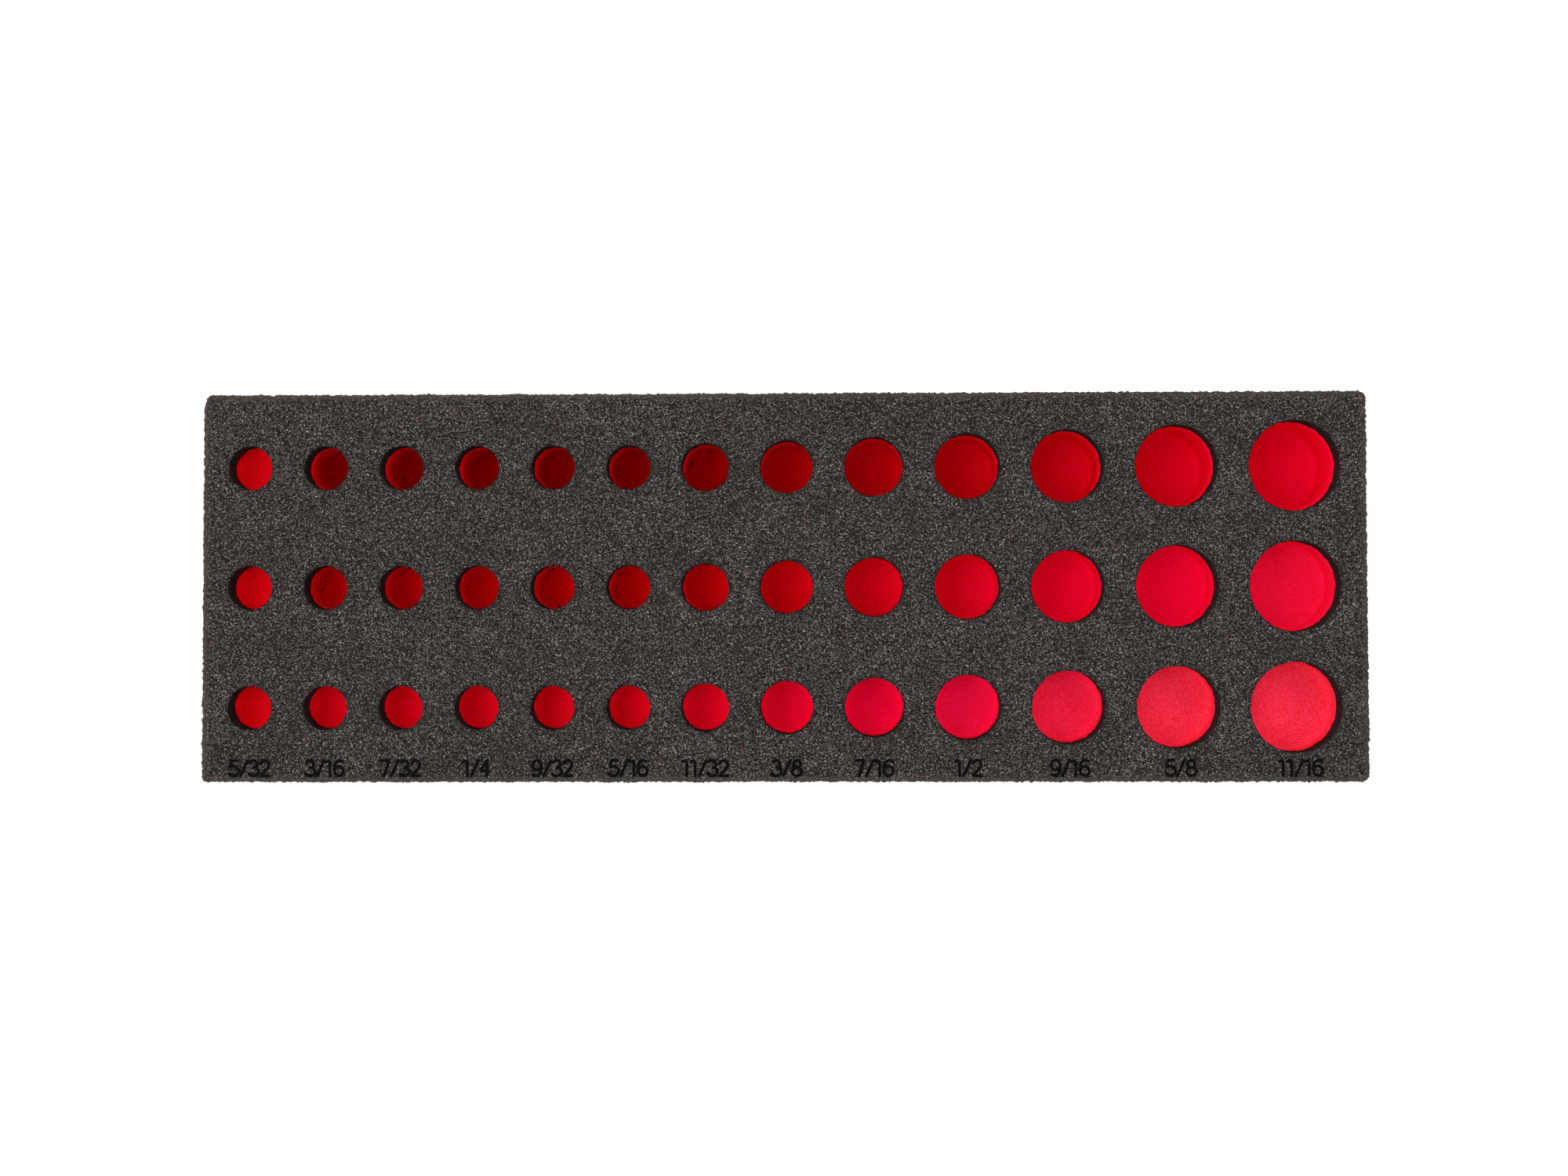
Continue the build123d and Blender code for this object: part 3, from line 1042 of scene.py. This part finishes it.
def roughen(bench, values, whole):
    """Pushes each cut in and out along its own direction, and lifts level faces here and there."""
    spot = bench.put(SPOT).outputs[0]
    stretched = bench.vector("MULTIPLY", spot, (1, 1, UPRIGHT_STRETCH))
    parts = []
    for kind in ("Rag", "Wave"):
        noise = bench.put("ShaderNodeTexNoise", {"noise_dimensions": "4D"}, Vector=stretched,
                          W=values["Seed"], Scale=bench.math("DIVIDE", 1.0, values[kind + " Length"]),
                          Detail=3.0, Roughness=0.75).outputs[0]
        parts.append(bench.times(bench.math("SUBTRACT", noise, 0.5), values[kind + " Depth"]))
    push = bench.times(bench.math("ADD", *parts), bench.times(bench.named("cut"), 2.0))
    bumps = bench.put("ShaderNodeTexNoise", None, Vector=spot, Scale=1 / UNEVEN_LENGTH,
                      Detail=3.0).outputs[0]
    lift = bench.times(bench.math("SUBTRACT", bumps, 0.5), bench.times(values["Uneven Depth"], 2.0))
    level = bench.math("ABSOLUTE", bench.axis(bench.put("GeometryNodeInputNormal").outputs[0], "Z"))
    clear = bench.math("GREATER_THAN", bench.axis(spot, "Z"), FLAT_BELOW)
    rise = bench.put("ShaderNodeCombineXYZ", None, Z=bench.times(lift, level, clear)).outputs[0]
    offset = bench.vector("ADD", bench.scaled(bench.named("away", "FLOAT_VECTOR"), push), rise)
    return bench.put("GeometryNodeSetPosition", None, Geometry=whole, Offset=offset).outputs[0]


def make_cut_foam_tree():
    """Lines the pockets of a foam shell and roughens its cuts."""
    tree, bench, given, result = new_group(
        "cut_foam_block", "GeometryNodeTree",
        [("Geometry", "NodeSocketGeometry", None), ("Pockets", "NodeSocketObject", None),
         ("Foam", "NodeSocketMaterial", None), ("Segments", "NodeSocketInt", RIM_SEGMENTS),
         ("Rows", "NodeSocketInt", 8), ("Row Bias", "NodeSocketFloat", 1.0),
         ("Has Floors", "NodeSocketBool", False), ("Floor Rings", "NodeSocketInt", 6),
         ("Lip", "NodeSocketFloat", 0.0), ("Seed", "NodeSocketFloat", 3.0),
         ("Pocket Share", "NodeSocketFloat", SHEET_POCKET_SHARE),
         ("Rag Depth", "NodeSocketFloat", RAG_DEPTH), ("Rag Length", "NodeSocketFloat", RAG_LENGTH),
         ("Wave Depth", "NodeSocketFloat", 0.25 * MM), ("Wave Length", "NodeSocketFloat", 40 * MM),
         ("Uneven Depth", "NodeSocketFloat", 0.06 * MM)],
        [("Geometry", "NodeSocketGeometry")])
    values = given.outputs
    lining = mark_cuts(bench, values, unit_lining(bench, values))
    whole = weld_to_shell(bench, values, hang_linings(bench, values, lining))
    whole = roughen(bench, values, whole)
    whole = bench.put("GeometryNodeSetMaterial", None, Geometry=whole, Material=values["Foam"]).outputs[0]
    bench.wire(whole, result.inputs[0])
    return tree


CUT_FOAM = make_cut_foam_tree()
print("tree", CUT_FOAM.name, "with", len(CUT_FOAM.nodes), "nodes")

# %% [markdown]
# A tree's result is turned into a plain mesh, because the pieces that are kept have no live
# modifiers. Each finished mesh has its edges counted: on a closed surface two faces share each one.

# %% The charcoal sheet, with its pockets


def finish_with_tree(built, tree, values):
    """Runs a geometry tree on an object and keeps the result as its plain mesh."""
    modifier = built.modifiers.new(tree.name, "NODES")
    modifier.node_group = tree
    inputs = (s for s in tree.interface.items_tree if s.item_type == "SOCKET" and s.in_out == "INPUT")
    identifiers = {s.name: s.identifier for s in inputs}
    for label, value in values.items():
        modifier[identifiers[label]] = value
    depsgraph = bpy.context.evaluated_depsgraph_get()
    plain = bpy.data.meshes.new_from_object(built.evaluated_get(depsgraph), depsgraph=depsgraph)
    built.modifiers.clear()
    spare = built.data
    built.data = plain
    bpy.data.meshes.remove(spare)
    plain.name = built.name


def report(built):
    """Prints a finished mesh's size and how many of its edges aren't shared by two faces."""
    mesh = built.data
    uses = np.zeros(len(mesh.edges), int)
    edge_of_loop = np.empty(len(mesh.loops), int)
    mesh.loops.foreach_get("edge_index", edge_of_loop)
    np.add.at(uses, edge_of_loop, 1)
    triangles = sum(len(p.vertices) - 2 for p in mesh.polygons)
    print(built.name, len(mesh.vertices), "points,", triangles, "triangles,",
          int((uses != 2).sum()), "open edges")


finish_with_tree(sheet, CUT_FOAM, {"Pockets": holes, "Rows": 6, "Row Bias": 2.0, "Lip": LIP,
                                   "Foam": CHARCOAL})
bpy.data.objects.remove(holes)
report(sheet)

# %% [markdown]
# The red base is made the same way: a shell of outer side, underside and bonded face, then the
# tree hangs a wall and a floor in every pocket.

# %% The red base
BASE_OUTLINE_STEP = 0.9 * MM
BASE_SIDE_ROWS = 14
OUTSIDE_OPENNESS = 0.2


def base_shell():
    """The red base without its pockets."""
    around, facing = walk_outline(base_low, base_high, BASE_OUTLINE_STEP)
    rings = [with_height(around, height) for height in np.linspace(BOND, 0, BASE_SIDE_ROWS + 1)]
    plan, faces_on_top = triangulate([around] + pocket_circles(), [])
    under, faces_under = triangulate([around], [])
    side = np.concatenate(rings)
    points = np.concatenate([with_height(plan, BOND), side, with_height(under, 0.0)])
    faces = [tuple(f) for f in outside_pockets(plan, faces_on_top)] + loft(rings, len(plan))
    faces += [tuple(f[::-1] + len(plan) + len(side)) for f in faces_under]
    plan_cut, plan_away = cut_with_outline(plan, around, facing, BASE_POCKET_SHARE)
    under_cut, under_away = cut_with_outline(under, around, facing, BASE_POCKET_SHARE)
    outer_side = np.full(len(side) + len(under), -1.0)
    return build_mesh("red_foam_base", points, faces, {
        "cut": np.concatenate([plan_cut, np.ones(len(side)), under_cut]),
        "away": np.concatenate([plan_away, np.tile(flat_away(facing), (len(rings), 1)), under_away]),
        "corner_gap": np.full(len(points), FAR),
        "openness": np.full(len(points), OUTSIDE_OPENNESS),
        "wall": np.concatenate([np.where(plan_cut == 1.0, -1.0, 1.0), outer_side]),
    })


base = base_shell()
wells = pocket_points("red_pocket_points", lambda pocket: pocket["floor"])
finish_with_tree(base, CUT_FOAM, {"Pockets": wells, "Rows": 9, "Has Floors": True,
                                  "Pocket Share": BASE_POCKET_SHARE, "Foam": RED_FOAM})
bpy.data.objects.remove(wells)
report(base)

# %% [markdown]
# Cutting the pockets leaves red dust, and a few grains of it lie on the charcoal face. A second
# geometry tree sprinkles small lumps over the level parts of the sheet's own mesh, each turned and
# sized by chance from a fixed seed.

# %% Red dust on the sheet
LEVEL_FROM, TOP_REACH = 0.95, 0.2 * MM
FULL_TURN = (6.28, 6.28, 6.28)  # radians round each axis


def make_dust_tree():
    """Sprinkles small lumps on the level top of an object."""
    tree, bench, given, result = new_group(
        "red_dust", "GeometryNodeTree",
        [("Geometry", "NodeSocketGeometry", None), ("Sheet", "NodeSocketObject", None),
         ("Per Square Metre", "NodeSocketFloat", 1200.0), ("Seed", "NodeSocketInt", 11),
         ("Smallest", "NodeSocketFloat", 0.06 * MM), ("Largest", "NodeSocketFloat", 0.15 * MM),
         ("Foam", "NodeSocketMaterial", None)],
        [("Geometry", "NodeSocketGeometry")])
    values = given.outputs
    sheet_mesh = bench.put("GeometryNodeObjectInfo", None, Object=values["Sheet"]).outputs["Geometry"]
    upward = bench.axis(bench.put("GeometryNodeInputNormal").outputs[0], "Z")
    height = bench.axis(bench.put(SPOT).outputs[0], "Z")
    level = bench.times(bench.math("GREATER_THAN", upward, LEVEL_FROM),
                        bench.math("GREATER_THAN", height, TOP - TOP_REACH))
    points = bench.put("GeometryNodeDistributePointsOnFaces", {"distribute_method": "RANDOM"},
                       Mesh=sheet_mesh, Selection=level, Density=values["Per Square Metre"],
                       Seed=values["Seed"]).outputs["Points"]
    lump = bench.put("GeometryNodeMeshIcoSphere", None, Radius=1.0, Subdivisions=1).outputs["Mesh"]
    size = bench.put("FunctionNodeRandomValue", {"data_type": "FLOAT"}, Seed=values["Seed"])
    bench.wire(values["Smallest"], size.inputs[2])
    bench.wire(values["Largest"], size.inputs[3])
    turn = bench.put("FunctionNodeRandomValue", {"data_type": "FLOAT_VECTOR"}, Seed=values["Seed"])
    bench.wire(FULL_TURN, turn.inputs[1])
    lumps = bench.put("GeometryNodeInstanceOnPoints", None, Points=points, Instance=lump,
                      Rotation=turn.outputs[0], Scale=size.outputs[1]).outputs[0]
    lumps = bench.put("GeometryNodeRealizeInstances", None, Geometry=lumps).outputs[0]
    lumps = bench.put("GeometryNodeSetMaterial", None, Geometry=lumps, Material=values["Foam"]).outputs[0]
    bench.wire(lumps, result.inputs[0])
    return tree


dust = build_mesh("red_foam_dust", [(0, 0, TOP)], [], {})
finish_with_tree(dust, make_dust_tree(), {"Sheet": sheet, "Foam": RED_FOAM})
report(dust)

# %% [markdown]
# Each dressed foam stands for its CAD node, which stays behind it for collisions. Nothing on the
# block moves, so all of it rides on the root.

# %% Put the foams in the frame
for piece, node, slot in ((sheet, SHEET, "charcoal_foam"), (base, BASE, "red_foam")):
    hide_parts(node)
    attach(piece, "root")
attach(dust, "root")
print("pieces:", sheet.name, base.name, dust.name)
